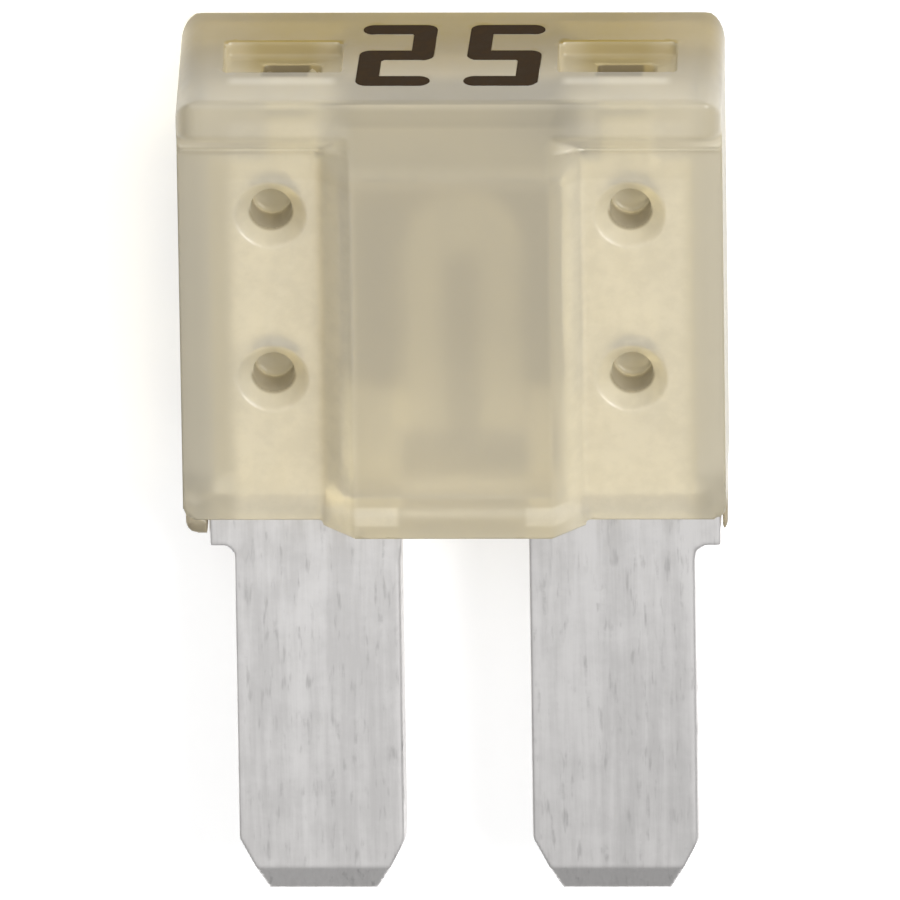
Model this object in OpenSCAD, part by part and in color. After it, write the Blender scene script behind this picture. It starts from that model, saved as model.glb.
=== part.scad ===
// Two-blade automotive fuse, 9.1 mm wide.
// A translucent moulded housing, open at the bottom, is staked onto one stamped
// metal strip. The strip carries both blades and the fuse link between them.
// The shapes are drawn upright: x runs across the blades, y from the front face
// to the back and z from the blade tips to the numbered end. The finished part
// lies on its back, as a loose fuse comes to rest, with the numbered end to +Y.

/* [Housing] */
// Width of the housing across both blades
body_w = 9.1; // [9:0.1:10.4]
// Thickness of the housing at the head and the window
body_t = 3.8; // [3.6:0.1:4.6]
// Height of the housing from its open bottom to the numbered end
body_h = 7.9; // [7.7:0.1:9]
// Thickness of the housing at the two recessed side columns
column_t = 2.7; // [2.4:0.05:3.1]
// Height of the full-thickness head above the columns
head_h = 0.95; // [0.8:0.05:1.1]
// Height of the sloped step under the head
head_slope = 0.15; // [0.05:0.05:0.3]
// Radius of the four upright edges
side_edge_r = 0.35; // [0.2:0.05:0.5]
// Radius of the head's two upper corners in front view
head_corner_r = 0.4; // [0.2:0.05:0.7]
// Radius of the long edges of the numbered end
top_edge_r = 0.12; // [0.08:0.02:0.3]
// Radius of the housing's lower corners in front view
foot_corner_r = 0.2; // [0.1:0.05:0.35]
// Height that the end walls hang down beside the strip's ears
tongue_h = 0.75; // [0.3:0.05:0.8]

/* [Window] */
// Width of the raised window's flat face
window_w = 3.35; // [3.2:0.05:3.6]
// Width of each slanted flank beside the window
flank_w = 0.53; // [0.3:0.05:0.6]
// Width of the hollow behind the window
chamber_w = 3.5; // [3.3:0.05:3.6]
// Wall between the window's face and the hollow
window_wall = 0.5; // [0.35:0.05:0.7]
// Wall height under the hollow, around the mouth of the slot
lip_h = 0.48; // [0.35:0.05:0.7]
// How far the window's block reaches below the columns
block_drop = 0.1; // [0.04:0.02:0.2]

/* [Stakes] */
// Distance from the centre line to each stake column
stake_x = 3; // [2.8:0.05:3.1]
// Distance between the two stakes of a column
stake_pitch = 3; // [2.4:0.1:3.2]
// Distance from the housing's bottom to the lower stakes
stake_rise = 2.6; // [2.2:0.05:2.7]
// Diameter of the dished stake pit at the surface
pit_d = 1.18; // [1.05:0.05:1.35]
// Depth of the dish, which narrows to the core
pit_depth = 0.28; // [0.1:0.02:0.35]
// Diameter of the straight core at the foot of the dish
core_d = 0.7; // [0.5:0.05:0.9]
// Depth of the core below the dish
core_depth = 0.6; // [0.3:0.05:0.65]
// Diameter of the stake holes in the strip
hole_d = 0.95; // [0.7:0.05:1.1]

/* [Probe wells] */
// Distance from the centre line to each probe well
well_x = 2.79; // [2.65:0.05:2.9]
// Width of a probe well
well_w = 1.95; // [1.6:0.05:2]
// Size of a probe well from front to back
well_t = 1.25; // [1.1:0.05:1.6]
// Depth of a probe well
well_depth = 0.3; // [0.2:0.05:0.5]
// Width of the strip's tab under each well
tab_w = 0.9; // [0.6:0.05:1.2]
// Depth of the tab's end below the well's floor
tab_drop = 0.35; // [0.2:0.05:0.5]

/* [Blades] */
// Width of each blade
blade_w = 2.82; // [2.5:0.02:2.9]
// Thickness of the strip and its blades
blade_t = 0.63; // [0.5:0.01:0.8]
// Length of a blade from its tip to the housing
blade_l = 7.4; // [6.5:0.1:9]
// Distance between the centres of the blades
blade_pitch = 4.95; // [4.8:0.05:5.05]
// Width of a blade's tip
tip_w = 1.84; // [1.4:0.05:2.2]
// Height of the sideways taper at the tip
taper_h = 1; // [0.6:0.05:1.4]
// Thickness of a blade's tip
tip_t = 0.3; // [0.2:0.02:0.4]
// Height of the bevel on the front and back of the tip
bevel_h = 0.45; // [0.3:0.05:0.8]

/* [Ears] */
// Width of the ear outside each blade
ear_w = 0.41; // [0.3:0.01:0.46]
// Distance from the housing's bottom to the ear's lower edge
ear_h = 0.97; // [0.85:0.05:1.3]
// Radius in the corner between the ear and the blade
ear_r = 0.2; // [0.1:0.05:0.3]

/* [Fuse link] */
// Width of each leg of the link
link_w = 0.7; // [0.5:0.05:0.8]
// Thickness of the link, which is coined thinner than the blades
link_t = 0.3; // [0.2:0.05:0.4]
// Gap between the two legs
link_gap = 0.6; // [0.5:0.05:0.65]
// Height from the housing's bottom to the top of the link's arch
link_h = 5.5; // [5.1:0.1:5.7]
// Depth of metal at the crown of the arch
crown_h = 1.05; // [0.7:0.05:1.2]
// Height from the housing's bottom to the link's feet
foot_z = 1.17; // [1:0.05:1.3]
// Height of the feet that join the link to the blades
foot_h = 0.87; // [0.6:0.05:1.1]
// Distance from the centre line to the inner edge of the strip's columns
column_x = 1.8; // [1.75:0.05:2]
// Distance from the housing's bottom to the top of the strip's columns
column_h = 6.3; // [6.15:0.05:6.5]

/* [Fits] */
// Clearance on each face of the strip in its slot
slot_gap = 0.03; // [0.02:0.01:0.06]
// Sideways play of the strip in its slot, on each side
side_play = 0.2; // [0.16:0.01:0.25]
// How far the strip sits to the right in that play
strip_shift = 0.14; // [0:0.01:0.16]
// Width of the sloped mouth around the slot
lead_in = 0.2; // [0.1:0.05:0.25]

/* [Rating number] */
// Height of a digit
digit_h = 2.46; // [1.8:0.02:2.5]
// Width of a digit
digit_w = 1.24; // [1.1:0.02:1.4]
// Distance between the centres of the two digits
digit_pitch = 1.8; // [1.75:0.05:1.95]
// Width of a digit's stroke
stroke_w = 0.38; // [0.3:0.02:0.42]
// How far a digit's top leans to the right
digit_lean = 0.04; // [0:0.01:0.1]
// Distance from the middle of the numbered end back to the digits' middle
digit_back = 0.05; // [0:0.01:0.1]
// Depth of the ink in the numbered end
ink_depth = 0.04; // [0.03:0.01:0.1]

/* [Hidden] */
$fn = 64;
// Cutting shapes reach this far past the surface that they cut
over = 0.5;
total_h = blade_l + body_h;
base_z = blade_l;
column_y = column_t / 2;
recess_t = (body_t - column_t) / 2;
slot_t = blade_t + 2 * slot_gap;
blade_in = (blade_pitch - blade_w) / 2;
blade_out = (blade_pitch + blade_w) / 2;
slot_w = 2 * (blade_out + side_play);
ear_out = blade_out + ear_w;
tip_cut = (blade_w - tip_w) / 2;
column_top = base_z + column_h;
slot_top = column_top + slot_gap;
well_floor = total_h - well_depth;
tab_top = well_floor - tab_drop;
leg_out = link_gap / 2 + link_w;
arch_z = base_z + link_h - leg_out;
link_slot_top = base_z + link_h - crown_h;
plug_d = hole_d - 2 * slot_gap;
stake_z = [base_z + stake_rise, base_z + stake_rise + stake_pitch];
block_face_x = window_w / 2;
block_foot_x = block_face_x + flank_w;
tongue_w = 0.8;

// The drawing turned onto its back, centred over its own outline
module laid() {
    translate([0, -total_h / 2, body_t / 2])
        rotate([-90, 0, 0])
            children();
}

// A front view drawing (x, z) given a thickness, centred on y = 0
module from_front(thickness) {
    rotate([90, 0, 0])
        linear_extrude(height = thickness, center = true)
            children();
}

// A side view drawing (y, z) given a width, centred on x = 0
module from_side(width) {
    rotate([90, 0, 90])
        linear_extrude(height = width, center = true)
            children();
}

// A plate standing on y = 0, with its own radius on the lower and upper corners
module plate(w, h, low_r, high_r) {
    translate([-w / 2, low_r])
        square([w, h - low_r - high_r]);
    translate([low_r - w / 2, 0])
        square([w - 2 * low_r, h / 2]);
    translate([high_r - w / 2, h / 2])
        square([w - 2 * high_r, h / 2]);
    for (side = [-1, 1]) {
        translate([side * (w / 2 - low_r), low_r])
            circle(r = low_r);
        translate([side * (w / 2 - high_r), h - high_r])
            circle(r = high_r);
    }
}

// The housing's outer block, before anything is cut from it
module housing_block() {
    intersection() {
        translate([0, 0, base_z])
            from_front(body_t + 2 * over)
                plate(body_w, body_h, foot_corner_r, head_corner_r);
        translate([0, -body_t / 2, base_z - over])
            linear_extrude(height = body_h + 2 * over)
                plate(body_w, body_t, side_edge_r, side_edge_r);
        translate([0, 0, base_z - top_edge_r])
            from_side(body_w + 2 * over)
                plate(body_t, body_h + top_edge_r, top_edge_r / 2, top_edge_r);
    }
}

// Lower end of the window's block, from the front face to the back face
module block_foot() {
    half_t = body_t / 2;
    translate([0, 0, base_z - block_drop])
        linear_extrude(height = block_drop + over)
            polygon([
                [-block_face_x, -half_t],
                [block_face_x, -half_t],
                [block_foot_x, -column_y],
                [block_foot_x, column_y],
                [block_face_x, half_t],
                [-block_face_x, half_t],
                [-block_foot_x, column_y],
                [-block_foot_x, -column_y]
            ]);
}

// Low tongues that carry the end walls on past the bottom, beside the ears
module end_tongues() {
    from_front(blade_t - 0.05)
        for (side = [-1, 1])
            translate([side * (body_w - tongue_w) / 2, base_z - tongue_h])
                plate(tongue_w, tongue_h + over, foot_corner_r, 0.05);
}

// One of the four sunk columns, cut away with sloped edges at its head and flank
module column_recess() {
    far_x = body_w / 2 + over;
    low_z = base_z - over;
    // The slopes are carried on past the surface so that the cut leaves no skin
    lean_x = flank_w * over / recess_t;
    lean_z = head_slope * over / recess_t;
    step_z = total_h - head_h;
    intersection() {
        translate([0, 0, low_z])
            linear_extrude(height = body_h + over)
                polygon([
                    [block_foot_x, -column_y],
                    [block_face_x - lean_x, -body_t / 2 - over],
                    [far_x, -body_t / 2 - over],
                    [far_x, -column_y]
                ]);
        translate([far_x / 2, 0, 0])
            from_side(far_x + 2 * over)
                polygon([
                    [-column_y, step_z - head_slope],
                    [-body_t / 2 - over, step_z + lean_z],
                    [-body_t / 2 - over, low_z],
                    [-column_y, low_z]
                ]);
    }
}

module column_recesses() {
    for (side = [0, 1], face = [0, 1])
        mirror([side, 0, 0])
            mirror([0, face, 0])
                column_recess();
}

// Slot for the strip, its sloped mouth and the room for the ears under the housing
module strip_slot() {
    mouth_w = slot_w + 2 * lead_in;
    translate([0, 0, base_z - over])
        from_front(slot_t)
            translate([-slot_w / 2, 0])
                square([slot_w, slot_top - base_z + over]);
    from_side(mouth_w)
        polygon([
            [-slot_t / 2, base_z + lead_in],
            [slot_t / 2, base_z + lead_in],
            [slot_t / 2 + lead_in, base_z],
            [slot_t / 2 + lead_in, base_z - over],
            [-slot_t / 2 - lead_in, base_z - over],
            [-slot_t / 2 - lead_in, base_z]
        ]);
    translate([strip_shift, 0, base_z - tongue_h - over])
        from_front(slot_t)
            translate([-ear_out - slot_gap, 0])
                square([2 * (ear_out + slot_gap), tongue_h + over]);
}

// Hollow behind the window, where the link hangs free
module chamber() {
    from_front(body_t - 2 * window_wall)
        translate([-chamber_w / 2, base_z + lip_h])
            square([chamber_w, column_h - lip_h + slot_gap]);
}

// Wells in the numbered end, each with a slot down to the strip's tab
module probe_openings() {
    for (side = [-1, 1]) {
        translate([side * well_x, 0, well_floor])
            linear_extrude(height = well_depth + over)
                square([well_w, well_t], center = true);
        translate([side * well_x, 0, 0])
            from_front(slot_t)
                translate([strip_shift - tab_w / 2 - slot_gap, slot_top - over])
                    square([tab_w + 2 * slot_gap, well_floor - slot_top + 2 * over]);
    }
}

// A round bar along y between two depths, at one stake position
module stake_bar(side, z, d, y_from, y_to) {
    translate([side * stake_x, y_from, z])
        rotate([-90, 0, 0])
            cylinder(d = d, h = y_to - y_from);
}

// Pits that the staking punch leaves on both faces: a dish with a straight core
module stake_pits() {
    // The dish is carried on past the surface at the same slope
    wide_d = core_d + (pit_d - core_d) * (pit_depth + over) / pit_depth;
    for (side = [-1, 1], z = stake_z, face = [0, 1])
        mirror([0, face, 0]) {
            translate([side * stake_x, -column_y - over, z])
                rotate([-90, 0, 0])
                    cylinder(d1 = wide_d, d2 = core_d, h = pit_depth + over);
            stake_bar(side, z, core_d, -body_t, pit_depth + core_depth - column_y);
        }
}

// Plastic plugs that cross the slot through the holes in the strip
module stake_plugs() {
    for (side = [-1, 1], z = stake_z)
        stake_bar(side, z, plug_d, -slot_t / 2 - 0.1, slot_t / 2 + 0.1);
}

// One straight stroke with round ends between two points
module stroke(a, b) {
    d = b - a;
    translate(a)
        rotate(atan2(d[1], d[0]))
            translate([0, -stroke_w / 2])
                square([norm(d), stroke_w]);
    translate(a)
        circle(d = stroke_w);
    translate(b)
        circle(d = stroke_w);
}

// A digit as strokes through points on a grid of 2 columns and 3 rows
module digit(path) {
    w = digit_w - stroke_w;
    h = digit_h - stroke_w;
    for (i = [0:len(path) - 2])
        stroke(grid_point(path[i], w, h), grid_point(path[i + 1], w, h));
}

function grid_point(p, w, h) =
    [(p[0] - 0.5) * w + (p[1] - 1) * digit_lean, (p[1] - 1) * h / 2];

// The two digits of the rating, read from the front
module rating_outline() {
    translate([-digit_pitch / 2, digit_back])
        digit([[0, 2], [1, 2], [1, 1], [0, 1], [0, 0], [1, 0]]);
    translate([digit_pitch / 2, digit_back])
        digit([[1, 2], [0, 2], [0, 1], [1, 1], [1, 0], [0, 0]]);
}

module rating_ink(height) {
    translate([0, 0, total_h - ink_depth])
        linear_extrude(height = height)
            rating_outline();
}

// The moulded housing
module housing() {
    color([0.82, 0.78, 0.65, 0.6])
        laid() {
            difference() {
                union() {
                    housing_block();
                    block_foot();
                    end_tongues();
                }
                column_recesses();
                strip_slot();
                chamber();
                probe_openings();
                stake_pits();
                rating_ink(ink_depth + over);
            }
            stake_plugs();
        }
}

// Front outline of one blade with its ear, column and tab, right of the centre
module blade_outline() {
    ear_low = base_z - ear_h;
    ear_top = base_z - slot_gap;
    polygon([
        [blade_in + tip_cut, 0],
        [blade_out - tip_cut, 0],
        [blade_out, taper_h],
        [blade_out, ear_low],
        [ear_out, ear_low],
        [ear_out, ear_top],
        [blade_out, ear_top],
        [blade_out, column_top],
        [column_x, column_top],
        [column_x, base_z + foot_z + foot_h],
        [blade_in, base_z + foot_z + foot_h],
        [blade_in, taper_h]
    ]);
    difference() {
        translate([blade_out - 0.01, ear_low - ear_r])
            square([ear_r + 0.01, ear_r + 0.01]);
        translate([blade_out + ear_r, ear_low - ear_r])
            circle(r = ear_r);
    }
    translate([well_x - tab_w / 2, column_top - 0.1])
        square([tab_w, tab_top - column_top + 0.1]);
}

// Front outline of the link: two legs, an arch with a deep crown, and its feet
module link_outline() {
    difference() {
        union() {
            translate([0, arch_z])
                circle(r = leg_out);
            translate([-leg_out, base_z + foot_z])
                square([2 * leg_out, arch_z - base_z - foot_z]);
            translate([-blade_in - 0.1, base_z + foot_z])
                square([2 * blade_in + 0.2, foot_h]);
        }
        translate([-link_gap / 2, base_z])
            square([link_gap, link_slot_top - link_gap / 2 - base_z]);
        translate([0, link_slot_top - link_gap / 2])
            circle(d = link_gap);
    }
}

// The stamped strip: blades, ears, columns, tabs and link in one piece
module fuse_strip() {
    color([0.78, 0.78, 0.77])
        laid()
            translate([strip_shift, 0, 0]) {
                difference() {
                    intersection() {
                        from_front(blade_t)
                            for (side = [0, 1])
                                mirror([side, 0])
                                    blade_outline();
                        from_side(2 * body_w)
                            polygon([
                                [-tip_t / 2, 0],
                                [tip_t / 2, 0],
                                [blade_t / 2, bevel_h],
                                [blade_t / 2, total_h],
                                [-blade_t / 2, total_h],
                                [-blade_t / 2, bevel_h]
                            ]);
                    }
                    for (side = [-1, 1], z = stake_z)
                        translate([-strip_shift, 0, 0])
                            stake_bar(side, z, hole_d, -blade_t, blade_t);
                }
                from_front(link_t)
                    link_outline();
            }
}

// The printed rating
module rating_number() {
    color([0.24, 0.18, 0.12])
        laid()
            rating_ink(ink_depth);
}

housing();
fuse_strip();
rating_number();
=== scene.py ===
"""Looks of a small automotive blade fuse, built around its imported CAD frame.

The fuse lies on its back with its numbered end to +Y. Lengths are in metres.
"""

import math

import bmesh
import bpy
import numpy as np
from mathutils import Matrix, Vector


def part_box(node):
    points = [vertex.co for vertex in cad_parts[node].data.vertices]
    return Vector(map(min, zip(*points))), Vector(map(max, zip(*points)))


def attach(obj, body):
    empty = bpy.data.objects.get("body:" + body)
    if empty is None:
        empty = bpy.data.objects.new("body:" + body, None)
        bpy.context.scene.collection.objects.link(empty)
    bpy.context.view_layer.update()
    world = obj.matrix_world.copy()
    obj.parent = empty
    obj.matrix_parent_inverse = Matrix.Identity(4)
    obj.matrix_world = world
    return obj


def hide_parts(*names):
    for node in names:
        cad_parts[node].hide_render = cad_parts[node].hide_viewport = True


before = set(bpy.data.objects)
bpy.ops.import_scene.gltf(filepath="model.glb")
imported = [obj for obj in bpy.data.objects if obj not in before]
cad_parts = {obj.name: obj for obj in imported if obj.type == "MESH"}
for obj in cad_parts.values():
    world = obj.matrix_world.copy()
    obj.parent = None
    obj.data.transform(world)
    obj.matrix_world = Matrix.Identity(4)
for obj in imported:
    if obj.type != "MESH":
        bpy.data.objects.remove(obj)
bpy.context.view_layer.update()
HOUSING_LOW, HOUSING_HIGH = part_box("housing")
STRIP_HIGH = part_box("fuse_strip")[1]

bl_info = {
    "name": "Blade Fuse",
    "version": (1, 0, 0),
    "blender": (4, 5, 0),
    "location": "View3D > Sidebar > Fuse",
    "description": "Dresses a packed automotive blade fuse with its plastic, metal and ink",
    "category": "Object",
}

MM = 0.001
# Places and sizes on the CAD model, in millimetres
STAKE_X = 3.0
STAKE_Y = (2.35, 5.35)
CORE_RADIUS = 0.35
CORE_FLOOR = 0.47
WELL_X = 2.79
WELL_HALF_W = 0.975
WELL_HALF_T = 0.625
WELL_DEPTH = 0.3
BLADE_RIGHT_EDGES = (-0.925, 4.025)
TIP_START = -7.0
TIP_SLOPE = 0.55
BLOCK_LOW = -0.35
EAR_LOW = -1.25
STEP_LOW = 6.5
STEP_HIGH = 7.05
STEP_FOOT = 6.55
STEP_TOP = 6.7
STEP_BASE = 1.0
PANEL_OFF = 1.35
MIDDLE_Z = 1.9
BLOCK_HALF_W = 1.675
FLANK_W = 0.53
CHAMBER_HALF_W = 1.75
CHAMBER_HALF_T = 1.4
COLUMN_TOP = 6.05
LIP_TOP = 0.23
HEAD_COVER = 0.55
LINK_X = 0.14
LINK_HALF_W = 1.0
ARMS_LOW = 1.7
END_Y = HOUSING_HIGH.y / MM
FOOT_Y = HOUSING_LOW.y / MM
# Where the finishes change, in millimetres
SLOT_HALF_W = 4.2
SLOT_HALF_T = 0.37
SHARP = 0.02
MARK_X = 0.04
MARK_HALF_W = 0.39
BRIM_HIGHLIGHT_OFF = 0.38
RIM_START = 3.95
RIM_FULL = 4.3
COLUMN_INNER = (1.65, 1.9)
COLUMN_OUTER = (4.0, 3.65)
HOLLOW_X = 0.05
HOLLOW_HALF_W = 1.72
HOLLOW_FADE = (6.3, 5.9)
HEAD_FADE = (7.4, 7.2)
LOW_WINDOW = (1.6, 0.9)
NUMBER_X = 0.1
NUMBER_HALF_W = 1.95
TAB_ENDS = (6.94, 6.97)
GREYING_ALONG = (-0.5, -6.8)
GREYING_ACROSS = (-1.0, 1.2)
# Stage and camera
FLOOR_DROP = 0.00002
FLOOR_LIFT = 0.36
FLOOR_RINGS = (0.05, 0.3, 1.5)
FLOOR_CORNERS = 64
WORLD_LOW = 0.3
WORLD_HIGH = 0.8
VIEW_CENTRE = (-0.105, 0.41, 1.9)
VIEW_WIDTH = 0.0151
SENSOR_WIDTH = 36.0
CAMERA_SIDE = math.radians(1.9)
CAMERA_ROLL = math.radians(-0.85)


class HousingSettings(bpy.types.PropertyGroup):
    """Sizes and finish of the moulded housing"""

    edge_cell: bpy.props.FloatProperty(
        name="Edge Cell",
        description="Size of the cells that round the moulding's edges",
        default=0.00005,
        min=0.00003,
        max=0.0002,
        precision=6,
        unit="LENGTH",
    )
    face_share: bpy.props.FloatProperty(
        name="Face Share",
        description="Share of the cells' faces that is kept",
        subtype="FACTOR",
        default=0.4,
        min=0.1,
        max=1.0,
    )
    colour: bpy.props.FloatVectorProperty(
        name="Plastic",
        description="Colour of the natural translucent plastic",
        subtype="COLOR",
        default=(0.84, 0.79, 0.66),
        min=0.0,
        max=1.0,
    )
    # Painted shade: the plastic darker where no metal lies behind it to send light back through
    unbacked_shade_colour: bpy.props.FloatVectorProperty(
        name="Plastic Alone",
        description="Colour of the plastic where no metal lies behind it",
        subtype="COLOR",
        default=(0.70, 0.65, 0.52),
        min=0.0,
        max=1.0,
    )
    # Painted shade on the plastic over the dark hollow behind the window
    hollow_shade_colour: bpy.props.FloatVectorProperty(
        name="Window",
        description="Colour of the plastic over the hollow",
        subtype="COLOR",
        default=(0.63, 0.58, 0.46),
        min=0.0,
        max=1.0,
    )
    core_colour: bpy.props.FloatVectorProperty(
        name="Stake Cores",
        description="Colour of the shaded walls in the stake pits",
        subtype="COLOR",
        default=(0.24, 0.20, 0.13),
        min=0.0,
        max=1.0,
    )
    # Painted shade on the plastic's far side, seen through its depth
    far_shade_colour: bpy.props.FloatVectorProperty(
        name="Far Side",
        description="Tint of the plastic's far side, seen through its depth",
        subtype="COLOR",
        default=(0.34, 0.30, 0.22),
        min=0.0,
        max=1.0,
    )
    # Painted shade: the numbered end darker towards its back
    end_shade_colour: bpy.props.FloatVectorProperty(
        name="Numbered End",
        description="Deeper colour of the numbered end towards the back",
        subtype="COLOR",
        default=(0.33, 0.222, 0.008),
        min=0.0,
        max=1.0,
    )
    # Painted shade inside the recessed probe wells
    well_shade_colour: bpy.props.FloatVectorProperty(
        name="Probe Wells",
        description="Colour of the plastic inside the probe wells",
        subtype="COLOR",
        default=(0.415, 0.335, 0.165),
        min=0.0,
        max=1.0,
    )
    depth_colour: bpy.props.FloatVectorProperty(
        name="Depth",
        description="Tint that light takes on inside the plastic",
        subtype="COLOR",
        default=(0.80, 0.745, 0.54),
        min=0.0,
        max=1.0,
    )
    clearness: bpy.props.FloatProperty(
        name="Clearness",
        description="Share of the light that passes through the plastic's surface",
        subtype="FACTOR",
        default=0.65,
        min=0.0,
        max=1.0,
    )
    inner_clearness: bpy.props.FloatProperty(
        name="Inner Clearness",
        description="Share of the light that passes through the walls of the wells and stake cores",
        subtype="FACTOR",
        default=0.25,
        min=0.0,
        max=1.0,
    )
    chamber_clearness: bpy.props.FloatProperty(
        name="Chamber Clearness",
        description="Share of the light that passes through the walls of the hollow behind the window",
        subtype="FACTOR",
        default=0.95,
        min=0.0,
        max=1.0,
    )
    lamp_share: bpy.props.FloatProperty(
        name="Lamp Share",
        description="Share of the lamps' light that reaches what is inside",
        subtype="FACTOR",
        default=0.85,
        min=0.0,
        max=1.0,
    )


class StripSettings(bpy.types.PropertyGroup):
    """Sizes and finish of the stamped strip"""

    edge_cell: bpy.props.FloatProperty(
        name="Edge Cell",
        description="Size of the cells that round the stamped edges",
        default=0.00004,
        min=0.00003,
        max=0.0002,
        precision=6,
        unit="LENGTH",
    )
    face_share: bpy.props.FloatProperty(
        name="Face Share",
        description="Share of the cells' faces that is kept",
        subtype="FACTOR",
        default=0.5,
        min=0.1,
        max=1.0,
    )
    roll_radius: bpy.props.FloatProperty(
        name="Roll-over Radius",
        description="Rounding of the edges that the stamping die rolled over",
        default=0.00012,
        min=0.0,
        max=0.0003,
        precision=6,
        unit="LENGTH",
    )
    colour: bpy.props.FloatVectorProperty(
        name="Plating",
        description="Colour of the plated metal",
        subtype="COLOR",
        default=(0.825, 0.808, 0.798),
        min=0.0,
        max=1.0,
    )
    # Painted light: the metal inside the housing paler, so that it shows bright through the plastic
    lit_inside_colour: bpy.props.FloatVectorProperty(
        name="Plating Inside",
        description="Colour of the clean metal inside the housing",
        subtype="COLOR",
        default=(0.97, 0.95, 0.90),
        min=0.0,
        max=1.0,
    )


class NumberSettings(bpy.types.PropertyGroup):
    """Finish of the stamped rating number"""

    colour: bpy.props.FloatVectorProperty(
        name="Ink",
        description="Colour of the stamped ink",
        subtype="COLOR",
        default=(0.030, 0.018, 0.008),
        min=0.0,
        max=1.0,
    )


class StageSettings(bpy.types.PropertyGroup):
    """Floor, lamps and camera"""

    floor_colour: bpy.props.FloatVectorProperty(
        name="Floor",
        description="Colour of the pale floor",
        subtype="COLOR",
        default=(0.86, 0.86, 0.86),
        min=0.0,
        max=1.0,
    )
    camera_distance: bpy.props.FloatProperty(
        name="Camera Distance",
        description="Distance from the camera to the fuse",
        default=0.6,
        min=0.05,
        max=3.0,
        unit="LENGTH",
    )
    camera_height: bpy.props.FloatProperty(
        name="Camera Height",
        description="Angle of the camera above the numbered end's side",
        default=math.radians(65.2),
        min=0.0,
        max=math.radians(90.0),
        unit="ROTATION",
    )


# Node tree helpers


def add(tree, kind, values=None, **settings):
    """A node of one kind, with its settings, and its inputs as values or linked sockets."""
    node = tree.nodes.new(kind)
    for key, value in settings.items():
        setattr(node, key, value)
    for key, value in (values or {}).items():
        if isinstance(value, bpy.types.NodeSocket):
            tree.links.new(value, node.inputs[key])
        else:
            node.inputs[key].default_value = value
    return node


def maths(tree, operation, a, b=0.0):
    """One Math node's result."""
    return add(tree, "ShaderNodeMath", {0: a, 1: b}, operation=operation).outputs[0]


def product(tree, *values):
    """The values multiplied together."""
    total = values[0]
    for value in values[1:]:
        total = maths(tree, "MULTIPLY", total, value)
    return total


def largest(tree, *values):
    """The largest of the values."""
    total = values[0]
    for value in values[1:]:
        total = maths(tree, "MAXIMUM", total, value)
    return total


def weighted(tree, *parts):
    """The sum of values, each times its share."""
    total = product(tree, *parts[0])
    for value, share in parts[1:]:
        total = maths(tree, "ADD", total, product(tree, value, share))
    return total


def distance(tree, value, centre=0.0):
    """How far a value lies from the centre, to either side."""
    return maths(tree, "ABSOLUTE", maths(tree, "SUBTRACT", value, centre))


def ramp(tree, value, low, high, out_low=0.0, out_high=1.0):
    """A value carried smoothly from one range to another."""
    return add(
        tree,
        "ShaderNodeMapRange",
        {"Value": value, "From Min": low, "From Max": high, "To Min": out_low, "To Max": out_high},
        interpolation_type="SMOOTHSTEP",
    ).outputs["Result"]


def mix_colour(tree, factor, a, b, blend="MIX"):
    """Two colours mixed by a factor."""
    node = tree.nodes.new("ShaderNodeMix")
    node.data_type = "RGBA"
    node.blend_type = blend
    for index, value in ((0, factor), (6, a), (7, b)):
        if isinstance(value, bpy.types.NodeSocket):
            tree.links.new(value, node.inputs[index])
        else:
            node.inputs[index].default_value = value
    return node.outputs[2]


def object_mm(tree):
    """The point on the piece in millimetres, from its own object coordinates."""
    coords = add(tree, "ShaderNodeTexCoord").outputs["Object"]
    return add(tree, "ShaderNodeVectorMath", {0: coords, "Scale": 1.0 / MM}, operation="SCALE").outputs[0]


def split(tree, vector):
    """The x, y and z of a vector."""
    return add(tree, "ShaderNodeSeparateXYZ", {0: vector}).outputs


def window(tree, value, centre, half, blur):
    """1 within half of the centre, falling smoothly to 0 over blur on each side."""
    return ramp(tree, distance(tree, value, centre), half - blur / 2, half + blur / 2, 1.0, 0.0)


def group(name, inputs, outputs):
    """An empty shader node group with named sockets, and its two ends."""
    tree = bpy.data.node_groups.new(name, "ShaderNodeTree")
    for label, kind, default in inputs:
        socket = tree.interface.new_socket(label, in_out="INPUT", socket_type=kind)
        if default is not None:
            socket.default_value = default
    for label, kind in outputs:
        tree.interface.new_socket(label, in_out="OUTPUT", socket_type=kind)
    start = tree.nodes.new("NodeGroupInput")
    end = tree.nodes.new("NodeGroupOutput")
    return tree, start.outputs, end.inputs


def place_group(tree, name, values):
    """A shared effect placed in a material with its own values."""
    node = tree.nodes.new("ShaderNodeGroup")
    node.node_tree = bpy.data.node_groups[name]
    for key, value in values.items():
        if isinstance(value, bpy.types.NodeSocket):
            tree.links.new(value, node.inputs[key])
        else:
            node.inputs[key].default_value = value
    return node.outputs


def make_mottle_group():
    """Cloudy unevenness of a surface: two sizes of noise around 0.5."""
    tree, start, end = group(
        "Mottle",
        [("Point", "NodeSocketVector", None), ("Patch Size", "NodeSocketFloat", 1.0)],
        [("Value", "NodeSocketFloat")],
    )
    scale = maths(tree, "DIVIDE", 1.0, start["Patch Size"])
    values = {"Vector": start["Point"], "Scale": scale, "Detail": 4.0, "Roughness": 0.6}
    noise = add(tree, "ShaderNodeTexNoise", values)
    tree.links.new(noise.outputs["Fac"], end["Value"])


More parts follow.
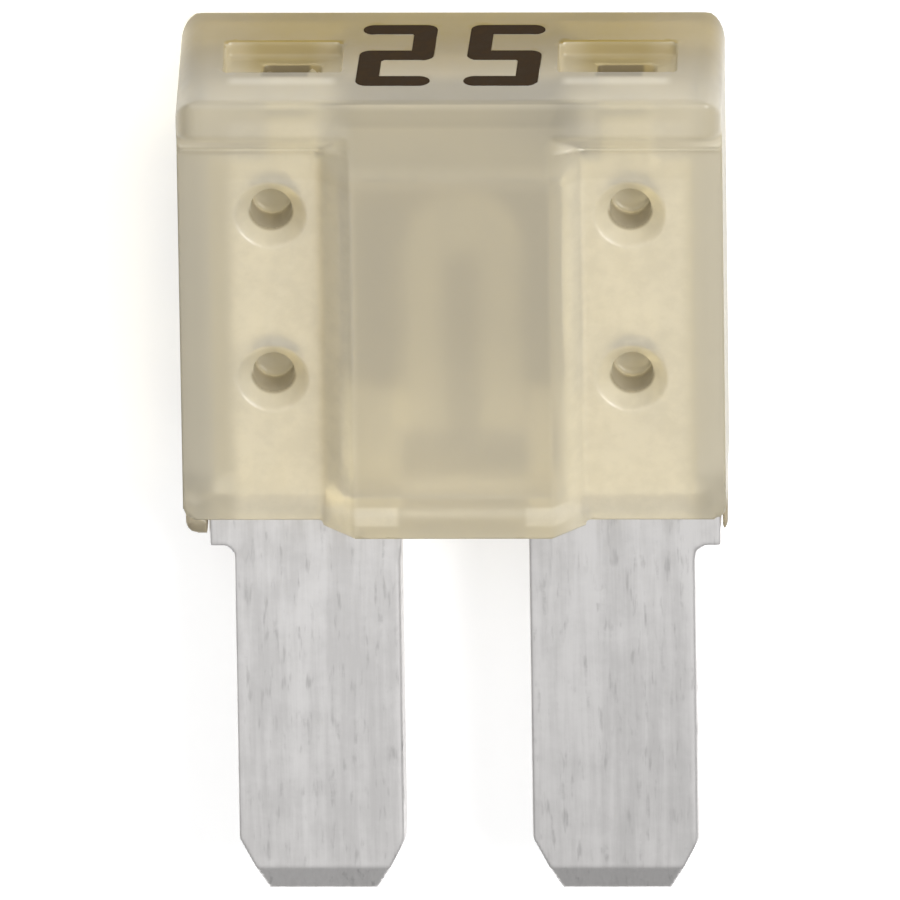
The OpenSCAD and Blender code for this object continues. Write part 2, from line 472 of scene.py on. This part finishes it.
def make_streak_group():
    """Fine parallel lines along Y: noise stretched along the length of the piece."""
    tree, start, end = group(
        "Streaks",
        [
            ("Point", "NodeSocketVector", None),
            ("Spacing", "NodeSocketFloat", 0.1),
            ("Stretch", "NodeSocketFloat", 12.0),
        ],
        [("Value", "NodeSocketFloat")],
    )
    axes = split(tree, start["Point"])
    across = maths(tree, "DIVIDE", axes["X"], start["Spacing"])
    along = maths(tree, "DIVIDE", axes["Y"], product(tree, start["Spacing"], start["Stretch"]))
    deep = maths(tree, "DIVIDE", axes["Z"], start["Spacing"])
    point = add(tree, "ShaderNodeCombineXYZ", {0: across, 1: along, 2: deep}).outputs[0]
    values = {"Vector": point, "Scale": 1.0, "Detail": 2.0, "Roughness": 0.55}
    noise = add(tree, "ShaderNodeTexNoise", values)
    tree.links.new(noise.outputs["Fac"], end["Value"])


def new_material(name):
    """A material with its tree cleared, and the output and surface shader in it."""
    material = bpy.data.materials.new(name)
    material.use_nodes = True
    tree = material.node_tree
    tree.nodes.clear()
    output = tree.nodes.new("ShaderNodeOutputMaterial")
    shader = tree.nodes.new("ShaderNodeBsdfPrincipled")
    tree.links.new(shader.outputs[0], output.inputs["Surface"])
    return material, tree, shader


def let_lamps_through(tree, shader, share, tint):
    """Let a share of the lamps' rays pass a see-through surface, so that what is inside is lit."""
    output = shader.outputs[0].links[0].to_node
    path = add(tree, "ShaderNodeLightPath").outputs
    open_share = product(tree, path["Is Shadow Ray"], share)
    clear = add(tree, "ShaderNodeBsdfTransparent", {"Color": tuple(tint) + (1.0,)})
    mixed = add(tree, "ShaderNodeMixShader", {0: open_share, 1: shader.outputs[0], 2: clear.outputs[0]})
    tree.links.new(mixed.outputs[0], output.inputs["Surface"])


def far_side(tree, x, z):
    """1 where a ray inside the plastic meets its outer surface from within, and 0 elsewhere."""
    behind = add(tree, "ShaderNodeNewGeometry").outputs["Backfacing"]
    slot = product(
        tree, window(tree, x, 0.0, SLOT_HALF_W, SHARP), window(tree, z, MIDDLE_Z, SLOT_HALF_T, SHARP)
    )
    chamber = product(
        tree,
        window(tree, x, 0.0, CHAMBER_HALF_W + 0.01, SHARP),
        window(tree, z, MIDDLE_Z, CHAMBER_HALF_T + 0.02, SHARP),
    )
    return product(tree, behind, maths(tree, "SUBTRACT", 1.0, largest(tree, slot, chamber)))


def far_shade_tone(tree, settings, x, y):
    """Painted shade on the far side: dark, and the plastic's own colour low behind the window."""
    low = product(tree, window(tree, x, LINK_X, 1.6, 0.2), ramp(tree, y, *LOW_WINDOW))
    return mix_colour(tree, low, plain(settings.far_shade_colour), plain(settings.colour))


def probe_shade_marks(tree, x):
    """1 across the painted shade that each probe slot makes, seen from its mouth."""
    off = maths(tree, "SUBTRACT", x, product(tree, maths(tree, "SIGN", x), WELL_X))
    return window(tree, off, MARK_X, MARK_HALF_W, 0.08)


def probe_slot_shade(tree, x, y, z):
    """1 at the mouths of the slots that lead down from the probe wells to the tabs, where shade is painted.
    """
    across = probe_shade_marks(tree, x)
    inside = product(
        tree,
        across,
        window(tree, z, MIDDLE_Z, SLOT_HALF_T, SHARP),
        window(tree, y, END_Y - WELL_DEPTH - 0.09, 0.07, 0.03),
    )
    # Painted shade on the surface in front of each well too, where the slot shows a little through the well's
    # front wall
    front = product(
        tree,
        across,
        window(tree, z, MIDDLE_Z + WELL_HALF_T + 0.08, 0.12, 0.16),
        ramp(tree, y, END_Y - 0.12, END_Y - 0.08, 0.0, 0.7),
    )
    return largest(tree, inside, front)


def well_brim_highlights(tree, x, y, z):
    """A painted highlight: 1 on the front brim of each probe well, in the numbered end's surface."""
    off = maths(tree, "SUBTRACT", distance(tree, x), WELL_X)
    return product(
        tree,
        window(tree, off, 0.0, WELL_HALF_W - 0.1, 0.2),
        window(tree, z, MIDDLE_Z + WELL_HALF_T + BRIM_HIGHLIGHT_OFF, 0.13, 0.22),
        ramp(tree, y, END_Y - 0.1, END_Y - 0.06),
    )


def well_light_and_shade(tree, settings, x, z):
    """Painted light and shade inside the probe wells: a shaded colour, painted light towards their ends and
    painted shade along their back.
    """
    off = distance(tree, distance(tree, x), WELL_X)
    ends = ramp(tree, off, 0.35, 0.95, 0.0, 0.4)
    tone = mix_colour(tree, ends, plain(settings.well_shade_colour), plain(settings.colour))
    low = MIDDLE_Z - WELL_HALF_T
    back = ramp(tree, z, low + 0.12, low + 0.02, 0.0, 0.35)
    return mix_colour(tree, back, tone, plain(settings.well_shade_colour, 0.5))


def stake_cores(tree, x, y, z):
    """The shade in the stakes' cores: full on the lower wall, slight towards the floor's low end."""
    middle = sum(STAKE_Y) / 2
    across = maths(tree, "SUBTRACT", distance(tree, x), STAKE_X)
    up = maths(tree, "SIGN", maths(tree, "SUBTRACT", y, middle))
    along = product(tree, maths(tree, "SUBTRACT", distance(tree, y, middle), STAKE_Y[1] - middle), up)
    off = add(tree, "ShaderNodeCombineXYZ", {0: across, 1: along, 2: 0.0}).outputs[0]
    length = add(tree, "ShaderNodeVectorMath", {0: off}, operation="LENGTH").outputs["Value"]
    near = ramp(tree, length, CORE_RADIUS + 0.01, CORE_RADIUS + 0.05, 1.0, 0.0)
    wall = product(
        tree,
        ramp(tree, distance(tree, z, MIDDLE_Z), CORE_FLOOR + 0.02, CORE_FLOOR + 0.08),
        ramp(tree, along, 0.1, -0.1),
    )
    floor = ramp(tree, along, 0.3, -0.35, 0.0, 0.3)
    return product(tree, near, largest(tree, wall, floor))


def metal_cover(tree, x, y):
    """1 where the strip's columns and feet lie close behind the plastic, with soft edges."""
    off = distance(tree, x, LINK_X)
    lip = product(tree, window(tree, y, LIP_TOP - 0.18, 0.18, 0.08), ramp(tree, off, 1.0, 1.12))
    across = product(tree, largest(tree, ramp(tree, off, *COLUMN_INNER), lip), ramp(tree, off, *COLUMN_OUTER))
    up = ramp(tree, y, COLUMN_TOP + 0.1, COLUMN_TOP - 0.1)
    head = ramp(tree, y, END_Y - 0.25, END_Y - 0.45, 0.0, HEAD_COVER)
    return product(tree, across, largest(tree, up, head))


def hollow_shade(tree, x, y, unbacked_shade):
    """1 on the plastic over the hollow behind the window, fading out up the head, where shade is painted."""
    up = largest(tree, ramp(tree, y, *HOLLOW_FADE), ramp(tree, y, *HEAD_FADE, 0.0, HEAD_COVER))
    return product(tree, window(tree, x, HOLLOW_X, HOLLOW_HALF_W, 0.3), up, unbacked_shade)


def numbered_end_shade(tree, x, y, z):
    """Painted shade on the numbered end: near 1 at its back, and less towards its front and its sides."""
    return product(
        tree,
        ramp(tree, y, END_Y - 0.45, END_Y - 0.02),
        ramp(tree, z, 3.9, 0.9),
        ramp(tree, distance(tree, x), 2.6, 4.3, 0.97, 0.8),
    )


def ink_shade(tree, x, y, z):
    """The shade that the ink lays on the plastic: just under it, deeper down and in front of it."""
    near = product(tree, window(tree, y, END_Y - 0.28, 0.2, 0.22), 0.42)
    deep = product(tree, window(tree, y, END_Y - 0.8, 0.4, 0.3), 0.2)
    front = product(tree, ramp(tree, y, END_Y - 0.06, END_Y - 0.03), ramp(tree, z, 2.5, 3.1, 0.0, 0.6))
    return product(tree, largest(tree, near, deep, front), window(tree, x, NUMBER_X, NUMBER_HALF_W, 0.7))


def head_step(tree, x, y, z):
    """1 on the step between the side panels and the head."""
    return product(
        tree,
        ramp(tree, y, STEP_LOW + 0.05, STEP_LOW + 0.2),
        ramp(tree, y, STEP_HIGH - 0.05, STEP_HIGH - 0.25),
        ramp(tree, distance(tree, z, MIDDLE_Z), PANEL_OFF - 0.1, PANEL_OFF),
        ramp(tree, distance(tree, x), BLOCK_HALF_W, BLOCK_HALF_W + 0.4),
    )


def eased_normal(tree, normal, step, z, pull=1.6):
    """The normal pulled towards the front or the back on the step, as scattered light evens it out."""
    off = maths(tree, "SUBTRACT", z, MIDDLE_Z)
    facing = add(tree, "ShaderNodeCombineXYZ", {2: maths(tree, "SIGN", off)}).outputs[0]
    facing = add(
        tree,
        "ShaderNodeVectorTransform",
        {0: facing},
        vector_type="NORMAL",
        convert_from="OBJECT",
        convert_to="WORLD",
    ).outputs[0]
    side = add(tree, "ShaderNodeVectorMath", {0: facing, 1: normal}, operation="DOT_PRODUCT").outputs["Value"]
    # Seen from inside, the shading normal points the other way, and so does the pull
    share = product(tree, step, maths(tree, "SIGN", side), pull)
    pulled = add(tree, "ShaderNodeVectorMath", {0: facing, "Scale": share}, operation="SCALE").outputs[0]
    total = add(tree, "ShaderNodeVectorMath", {0: normal, 1: pulled}, operation="ADD").outputs[0]
    return add(tree, "ShaderNodeVectorMath", {0: total}, operation="NORMALIZE").outputs[0]


def plain(colour, share=1.0):
    """A colour setting as a shader colour, brightened or darkened by a share."""
    return tuple(min(1.0, c * share) for c in colour) + (1.0,)


def housing_material(settings, name, clearness):
    """Natural translucent plastic: a milky share over clear, tinted depth.

    Its colour is laid on in layers, each with a mask, and all but its cloudy tone are painted light and
    shade:
    painted shade where no metal lies behind it, at the rims and over the hollow, deep at the back of the
    numbered end and under the ink, painted light on the step, painted light and shade in the wells, painted
    shade in the slots and stake cores with a painted highlight on the wells' brims, and last painted shade on
    its far side seen from within and on the tongues below the block.
    """
    material, tree, shader = new_material(name)
    point = object_mm(tree)
    x, y, z = split(tree, point)
    mottle = place_group(tree, "Mottle", {"Point": point, "Patch Size": 0.8})["Value"]
    fine = place_group(tree, "Mottle", {"Point": point, "Patch Size": 0.25})["Value"]
    cloud = ramp(tree, weighted(tree, (mottle, 0.5), (fine, 0.5)), 0.38, 0.62)
    tone = mix_colour(tree, cloud, plain(settings.colour, 0.93), plain(settings.colour, 1.02))
    unbacked_shade = maths(tree, "SUBTRACT", 1.0, metal_cover(tree, x, y))
    over_hollow_shade = settings.colour if name == "chamber_plastic" else settings.hollow_shade_colour
    step = head_step(tree, x, y, z)
    layers = [
        # Painted shade where no metal lies behind the plastic
        (unbacked_shade, plain(settings.unbacked_shade_colour)),
        # Painted shade at the rims, beyond the metal
        (ramp(tree, distance(tree, x), RIM_START, RIM_FULL), plain(settings.unbacked_shade_colour, 0.88)),
        # Painted shade over the hollow; the chamber's own walls take the plastic's colour instead
        (hollow_shade(tree, x, y, unbacked_shade), plain(over_hollow_shade)),
        # Painted shade at the back of the numbered end
        (numbered_end_shade(tree, x, y, z), plain(settings.end_shade_colour)),
        (ink_shade(tree, x, y, z), plain(settings.unbacked_shade_colour, 0.4)),
        # Painted light on the step under the head, lifting the shade that its slope takes
        (step, plain(settings.colour, 1.12)),
    ]
    if name == "inner_plastic":
        # Painted light and shade inside the probe wells
        layers.append((ramp(tree, y, END_Y - 1.0, END_Y - 0.9), well_light_and_shade(tree, settings, x, z)))
    layers += [
        # Painted shade at the probe slots' mouths and in front of the wells
        (product(tree, probe_slot_shade(tree, x, y, z), 0.95), plain(settings.core_colour, 0.8)),
        # Painted highlight on the wells' front brims
        (product(tree, well_brim_highlights(tree, x, y, z), 0.8), plain(settings.colour, 1.1)),
        (product(tree, stake_cores(tree, x, y, z), 0.8), plain(settings.core_colour)),
        # Painted shade on the far side, seen from within
        (far_side(tree, x, z), far_shade_tone(tree, settings, x, y)),
        # Painted shade on the tongues below the window's block
        (ramp(tree, y, BLOCK_LOW - 0.02, BLOCK_LOW - 0.06), plain(settings.far_shade_colour, 1.3)),
    ]
    for mask, colour in layers:
        tone = mix_colour(tree, mask, tone, colour)
    tree.links.new(tone, shader.inputs["Base Color"])
    tree.links.new(ramp(tree, fine, 0.3, 0.7, 0.3, 0.36), shader.inputs["Roughness"])
    bump = add(tree, "ShaderNodeBump", {"Height": mottle, "Strength": 0.2, "Distance": 0.00002})
    tree.links.new(eased_normal(tree, bump.outputs[0], step, z), shader.inputs["Normal"])
    shader.inputs["IOR"].default_value = 1.5
    shader.inputs["Transmission Weight"].default_value = clearness
    let_lamps_through(tree, shader, settings.lamp_share, settings.depth_colour)
    return material


def streaks(tree, point, spacing, stretch):
    """The shared lines along Y, placed with their own spacing and stretch."""
    return place_group(tree, "Streaks", {"Point": point, "Spacing": spacing, "Stretch": stretch})["Value"]


def strip_material(settings):
    """Plated sheet metal: bands and fine lines along the blades, cloudy patches and soft dark marks.

    It is greyer towards the tips and the right-hand blade, and paler inside the housing, painted light that
    shows through the plastic; its tabs' ends carry painted shade where the probe slots show them.
    """
    material, tree, shader = new_material("plated_metal")
    point = object_mm(tree)
    x, y, _ = split(tree, point)
    band = streaks(tree, point, 0.4, 12.0)
    line = streaks(tree, point, 0.13, 14.0)
    cloud = place_group(tree, "Mottle", {"Point": point, "Patch Size": 0.6})["Value"]
    mark = streaks(tree, point, 0.1, 6.0)
    grain = weighted(tree, (band, 0.42), (line, 0.28), (cloud, 0.30))
    tone = mix_colour(
        tree, ramp(tree, grain, 0.36, 0.64), plain(settings.colour, 0.84), plain(settings.colour, 1.10)
    )
    marks = product(tree, ramp(tree, mark, 0.54, 0.74), ramp(tree, cloud, 0.62, 0.42), 0.6)
    tone = mix_colour(tree, marks, tone, plain(settings.colour, 0.6))
    # Greyer towards the tips and the right-hand blade
    tone_drift = maths(
        tree, "ADD", ramp(tree, y, *GREYING_ALONG, 0.0, 0.5), ramp(tree, x, *GREYING_ACROSS, 0.0, 0.5)
    )
    tone = mix_colour(tree, tone_drift, tone, (0.85, 0.85, 0.85, 1.0), "MULTIPLY")
    arms = product(
        tree, window(tree, x, LINK_X, LINK_HALF_W + 0.1, 0.1), ramp(tree, y, ARMS_LOW - 0.2, ARMS_LOW)
    )
    # Painted shade on the tabs' ends, darkest across the probe slots
    ends = mix_colour(tree, probe_shade_marks(tree, x), (0.45, 0.4, 0.28, 1.0), (0.12, 0.1, 0.07, 1.0))
    layers = (
        # Painted light on the metal inside the housing and on the link's arms
        (ramp(tree, y, FOOT_Y + 0.6, FOOT_Y + 0.8), plain(settings.lit_inside_colour)),
        (arms, plain(settings.lit_inside_colour, 0.95)),
        (ramp(tree, y, *TAB_ENDS), ends),
    )
    for mask, colour in layers:
        tone = mix_colour(tree, mask, tone, colour)
    tree.links.new(tone, shader.inputs["Base Color"])
    tree.links.new(ramp(tree, grain, 0.35, 0.65, 0.48, 0.34), shader.inputs["Roughness"])
    relief = weighted(tree, (line, 1.0), (cloud, 1.5))
    bump = add(tree, "ShaderNodeBump", {"Height": relief, "Strength": 0.3, "Distance": 0.00001})
    tree.links.new(bump.outputs[0], shader.inputs["Normal"])
    shader.inputs["Metallic"].default_value = 1.0
    return material


def ink_material(settings):
    """Stamped ink, a little uneven."""
    material, tree, shader = new_material("stamped_ink")
    point = object_mm(tree)
    mottle = place_group(tree, "Mottle", {"Point": point, "Patch Size": 0.2})["Value"]
    tone_drift = ramp(tree, mottle, 0.45, 0.7)
    tone = mix_colour(tree, tone_drift, plain(settings.colour), plain(settings.colour, 1.3))
    tree.links.new(tone, shader.inputs["Base Color"])
    tree.links.new(ramp(tree, mottle, 0.3, 0.7, 0.7, 0.85), shader.inputs["Roughness"])
    shader.inputs["Specular IOR Level"].default_value = 0.05
    return material


def with_modifiers(piece):
    """A new mesh of the piece as its modifiers leave it; the modifiers go."""
    bpy.context.view_layer.update()
    graph = bpy.context.evaluated_depsgraph_get()
    mesh = bpy.data.meshes.new_from_object(piece.evaluated_get(graph), depsgraph=graph)
    piece.modifiers.clear()
    return mesh


def softened(node, settings, name, shape):
    """A CAD node rebuilt on a fine grid of cells, riding where the node lies.

    Each edge comes out rounded by about one cell, and flat faces stay where they are. The
    function shape then moves points of the mesh. At last a share of the faces is kept, and the
    flattest go first.
    """
    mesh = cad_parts[node].data.copy()
    mesh.name = name
    mesh.transform(Matrix.Scale(1.0 / MM, 4))
    mesh.materials.clear()
    work = bmesh.new()
    work.from_mesh(mesh)
    bmesh.ops.remove_doubles(work, verts=work.verts, dist=0.0004)
    work.to_mesh(mesh)
    work.free()
    piece = bpy.data.objects.new(name, mesh)
    bpy.context.scene.collection.objects.link(piece)
    cells = piece.modifiers.new("Fine Cells", "REMESH")
    cells.mode = "VOXEL"
    cells.voxel_size = settings.edge_cell / MM
    cells.use_smooth_shade = True
    piece.data = with_modifiers(piece)
    shape(piece.data)
    if settings.face_share < 1.0:
        piece.modifiers.new("Fewer Flat Faces", "DECIMATE").ratio = settings.face_share
        piece.data = with_modifiers(piece)
    piece.data.transform(Matrix.Scale(MM, 4))
    piece.data.name = name
    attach(piece, "root")
    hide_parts(node)
    return piece


def points_of(mesh):
    """The mesh's points, one row each."""
    flat = np.empty(3 * len(mesh.vertices))
    mesh.vertices.foreach_get("co", flat)
    return flat.reshape(-1, 3)


def put_points(mesh, points):
    """Gives the mesh its points back after they moved."""
    mesh.vertices.foreach_set("co", points.ravel())
    mesh.update()


def centres_mm(mesh):
    """The middles of the mesh's faces in millimetres, one row each."""
    flat = np.empty(3 * len(mesh.polygons))
    mesh.polygons.foreach_get("center", flat)
    return flat.reshape(-1, 3) / MM


class FUSE_OT_housing(bpy.types.Operator):
    """Make the moulded housing with rounded edges and its translucent plastic"""

    bl_idname = "fuse.housing"
    bl_label = "Moulded Housing"

    def execute(self, context):
        settings = context.scene.fuse_housing
        piece = softened("housing", settings, "housing_shell", self.soften_step)
        materials = (
            ("natural_plastic", settings.clearness),
            ("inner_plastic", settings.inner_clearness),
            ("chamber_plastic", settings.chamber_clearness),
        )
        for name, clearness in materials:
            piece.data.materials.append(housing_material(settings, name, clearness))
        piece.data.polygons.foreach_set("material_index", self.part_of(centres_mm(piece.data)))
        return {"FINISHED"}

    def soften_step(self, mesh):
        """Ease the step under the head on the front and the back, as the mould rounds it.

        Between the step's ends the surface follows the S-curve 3t^2 - 2t^3 from the side panels'
        to the head's distance from the middle, where t is the share of the way along. Points
        farther than STEP_BASE from the middle move by one share, nearly all of them inwards.
        """
        points = points_of(mesh)
        x, y, z = points.T
        rise = HOUSING_HIGH.z / MM - MIDDLE_Z - PANEL_OFF
        t = np.clip((y - STEP_LOW) / (STEP_HIGH - STEP_LOW), 0.0, 1.0)
        # The window's block carries the full thickness on down
        block = PANEL_OFF + rise * (1.0 - np.clip((np.abs(x) - BLOCK_HALF_W) / FLANK_W, 0.0, 1.0))
        plane = np.clip((y - STEP_FOOT) / (STEP_TOP - STEP_FOOT), 0.0, 1.0)
        now = np.maximum(PANEL_OFF + rise * plane, block)
        then = np.maximum(PANEL_OFF + rise * t * t * (3 - 2 * t), block)
        deep = np.abs(z - MIDDLE_Z)
        share = (then - STEP_BASE) / (now - STEP_BASE)
        moved = (deep > STEP_BASE) & (y > STEP_FOOT - 0.1)
        eased = MIDDLE_Z + np.sign(z - MIDDLE_Z) * (STEP_BASE + (deep - STEP_BASE) * share)
        points[moved, 2] = eased[moved]
        put_points(mesh, points)

    def part_of(self, centres):
        """For each face: 1 inside the probe wells and stake cores, 2 in the chamber, otherwise 0."""
        x, y, z = centres.T
        deep = np.abs(z - MIDDLE_Z)
        wells = (np.abs(np.abs(x) - WELL_X) < WELL_HALF_W + 0.01) & (deep < WELL_HALF_T + 0.01)
        wells &= (y > END_Y - WELL_DEPTH - 0.15) & (y < END_Y - 0.03)
        rise = np.abs(y - sum(STAKE_Y) / 2) - (STAKE_Y[1] - STAKE_Y[0]) / 2
        cores = (np.hypot(np.abs(x) - STAKE_X, rise) < CORE_RADIUS + 0.01) & (deep > CORE_FLOOR + 0.05)
        chamber = (np.abs(x) < CHAMBER_HALF_W + 0.01) & (deep < CHAMBER_HALF_T + 0.01)
        chamber &= (y > LIP_TOP) & (y < COLUMN_TOP + 0.1)
        return ((wells | cores) + 2 * chamber).astype(np.int32)


class FUSE_OT_strip(bpy.types.Operator):
    """Make the stamped strip with rolled edges and its plated metal"""

    bl_idname = "fuse.strip"
    bl_label = "Stamped Strip"

    def execute(self, context):
        settings = context.scene.fuse_strip
        self.radius = settings.roll_radius / MM
        piece = softened("fuse_strip", settings, "stamped_strip", self.roll_over)
        piece.data.materials.append(strip_material(settings))
        return {"FINISHED"}

    def roll_over(self, mesh):
        """Round the front of each blade's right edge, as the die rolled it over.

        At a distance d from the edge, less than the radius r, the front sinks by
        r - sqrt(r^2 - (r - d)^2), and the wall under it shortens by the same share.
        """
        radius = self.radius
        points = points_of(mesh)
        x, y, z = points.T
        sink = np.zeros(len(points))
        for edge in BLADE_RIGHT_EDGES:
            edge_x = edge - TIP_SLOPE * np.clip(TIP_START - y, 0.0, None)
            d = np.clip(edge_x - x, 0.0, radius)
            near = np.abs(edge_x - x) < radius
            sink[near] = (radius - np.sqrt(radius**2 - (radius - d) ** 2))[near]
        sink *= np.clip((EAR_LOW - y) / 0.3, 0.0, 1.0)
        high = np.clip((z - MIDDLE_Z) / (STRIP_HIGH.z / MM - MIDDLE_Z), 0.0, None)
        points[:, 2] -= np.minimum(sink, 0.8 * radius) * high
        put_points(mesh, points)


class FUSE_OT_number(bpy.types.Operator):
    """Give the rating number its ink"""

    bl_idname = "fuse.number"
    bl_label = "Rating Number"

    def execute(self, context):
        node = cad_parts["rating_number"]
        material = ink_material(context.scene.fuse_number)
        for index in range(len(node.material_slots)):
            node.material_slots[index].material = material
        return {"FINISHED"}


class FUSE_OT_stage(bpy.types.Operator):
    """Lay the floor and set the lamps and the camera"""

    bl_idname = "fuse.stage"
    bl_label = "Stage"

    def execute(self, context):
        settings = context.scene.fuse_stage
        self.floor(settings)
        self.world()
        self.lamps()
        self.camera(context, settings)
        return {"FINISHED"}

    def floor(self, settings):
        """A pale disc just under the fuse: rings of points around its middle."""
        count = FLOOR_CORNERS
        turn = np.linspace(0, 2 * math.pi, count, endpoint=False)
        ring = np.stack([np.cos(turn), np.sin(turn)], 1)
        points = np.vstack([[0.0, 0.0]] + [ring * radius for radius in FLOOR_RINGS])
        points = np.column_stack([points, np.full(len(points), -FLOOR_DROP)])
        faces = [(0, 1 + i, 1 + (i + 1) % count) for i in range(count)]
        for step in range(len(FLOOR_RINGS) - 1):
            a, b = 1 + step * count, 1 + (step + 1) * count
            faces += [(a + i, b + i, b + (i + 1) % count, a + (i + 1) % count) for i in range(count)]
        mesh = bpy.data.meshes.new("floor")
        mesh.from_pydata(points.tolist(), [], faces)
        floor = bpy.data.objects.new("floor", mesh)
        bpy.context.scene.collection.objects.link(floor)
        material, tree, shader = new_material("pale_floor")
        shader.inputs["Base Color"].default_value = plain(settings.floor_colour)
        shader.inputs["Roughness"].default_value = 0.9
        shader.inputs["Specular IOR Level"].default_value = 0.1
        path = add(tree, "ShaderNodeLightPath").outputs
        seen = largest(tree, path["Is Camera Ray"], path["Is Glossy Ray"], path["Is Transmission Ray"])
        tree.links.new(product(tree, seen, FLOOR_LIFT), shader.inputs["Emission Strength"])
        shader.inputs["Emission Color"].default_value = (1.0, 1.0, 1.0, 1.0)
        mesh.materials.append(material)

    def world(self):
        """Soft light, stronger from above and behind the numbered end, and white to the camera."""
        world = bpy.data.worlds.new("studio")
        bpy.context.scene.world = world
        world.use_nodes = True
        tree = world.node_tree
        tree.nodes.clear()
        output = tree.nodes.new("ShaderNodeOutputWorld")
        path = add(tree, "ShaderNodeLightPath").outputs
        way = split(tree, add(tree, "ShaderNodeTexCoord").outputs["Generated"])
        rise = weighted(tree, (way["Z"], 1.0), (way["Y"], 0.35))
        soft = ramp(tree, rise, 0.1, 0.85, WORLD_LOW, WORLD_HIGH)
        strength = largest(tree, soft, path["Is Camera Ray"])
        light = add(tree, "ShaderNodeBackground", {"Color": (1.0, 1.0, 1.0, 1.0), "Strength": strength})
        tree.links.new(light.outputs[0], output.inputs["Surface"])

    def lamp(self, name, place, size, watts):
        """One square soft lamp that faces the fuse."""
        data = bpy.data.lights.new(name, "AREA")
        data.shape = "SQUARE"
        data.size = size
        data.energy = watts
        lamp = bpy.data.objects.new(name, data)
        lamp.location = place
        lamp.rotation_mode = "QUATERNION"
        lamp.rotation_quaternion = Vector(place).to_track_quat("Z", "Y")
        bpy.context.scene.collection.objects.link(lamp)

    def lamps(self):
        """A key lamp from the right and a weak one that fills from the other side."""
        self.lamp("key", place=(0.2, 0.1, 0.24), size=0.16, watts=0.9)
        self.lamp("fill", place=(-0.1, 0.2, 0.3), size=0.2, watts=0.2)

    def camera(self, context, settings):
        """A long lens above the numbered end's side, with that end at the top of the frame."""
        data = bpy.data.cameras.new("camera")
        camera = bpy.data.objects.new("camera", data)
        bpy.context.scene.collection.objects.link(camera)
        height = settings.camera_height
        back = Vector(
            (
                math.sin(CAMERA_SIDE) * math.sin(height),
                math.cos(height),
                math.cos(CAMERA_SIDE) * math.sin(height),
            )
        )
        level = Vector((0, 1, 0)).cross(back).normalized()
        upright = back.cross(level)
        right = level * math.cos(CAMERA_ROLL) + upright * math.sin(CAMERA_ROLL)
        up = upright * math.cos(CAMERA_ROLL) - level * math.sin(CAMERA_ROLL)
        place = Vector(VIEW_CENTRE) * MM + back * settings.camera_distance
        turn = Matrix((right, up, back)).transposed().to_4x4()
        camera.matrix_world = Matrix.Translation(place) @ turn
        data.sensor_width = SENSOR_WIDTH
        data.lens = SENSOR_WIDTH * settings.camera_distance / VIEW_WIDTH
        data.clip_start = 0.01
        data.clip_end = 5.0
        context.scene.camera = camera
        context.scene.view_settings.view_transform = "Standard"


class FUSE_PT_pieces(bpy.types.Panel):
    """Lists the fuse's pieces and their settings"""

    bl_idname = "FUSE_PT_pieces"
    bl_label = "Blade Fuse"
    bl_space_type = "VIEW_3D"
    bl_region_type = "UI"
    bl_category = "Fuse"

    def draw(self, context):
        scene = context.scene
        rows = (
            ("fuse.housing", scene.fuse_housing),
            ("fuse.strip", scene.fuse_strip),
            ("fuse.number", scene.fuse_number),
            ("fuse.stage", scene.fuse_stage),
        )
        for operator, settings in rows:
            box = self.layout.box()
            box.operator(operator)
            for name in settings.__annotations__:
                box.prop(settings, name)


CLASSES = (
    HousingSettings,
    StripSettings,
    NumberSettings,
    StageSettings,
    FUSE_OT_housing,
    FUSE_OT_strip,
    FUSE_OT_number,
    FUSE_OT_stage,
    FUSE_PT_pieces,
)


def register():
    """Adds the classes to Blender and their settings to the scene."""
    for cls in CLASSES:
        bpy.utils.register_class(cls)
    scene = bpy.types.Scene
    scene.fuse_housing = bpy.props.PointerProperty(type=HousingSettings)
    scene.fuse_strip = bpy.props.PointerProperty(type=StripSettings)
    scene.fuse_number = bpy.props.PointerProperty(type=NumberSettings)
    scene.fuse_stage = bpy.props.PointerProperty(type=StageSettings)


def unregister():
    """Takes the settings and the classes out again."""
    for name in ("fuse_housing", "fuse_strip", "fuse_number", "fuse_stage"):
        delattr(bpy.types.Scene, name)
    for cls in reversed(CLASSES):
        bpy.utils.unregister_class(cls)


def main():
    """Makes every piece and the stage."""
    register()
    make_mottle_group()
    make_streak_group()
    for operator in (bpy.ops.fuse.housing, bpy.ops.fuse.strip, bpy.ops.fuse.number, bpy.ops.fuse.stage):
        operator()


if __name__ == "__main__":
    main()
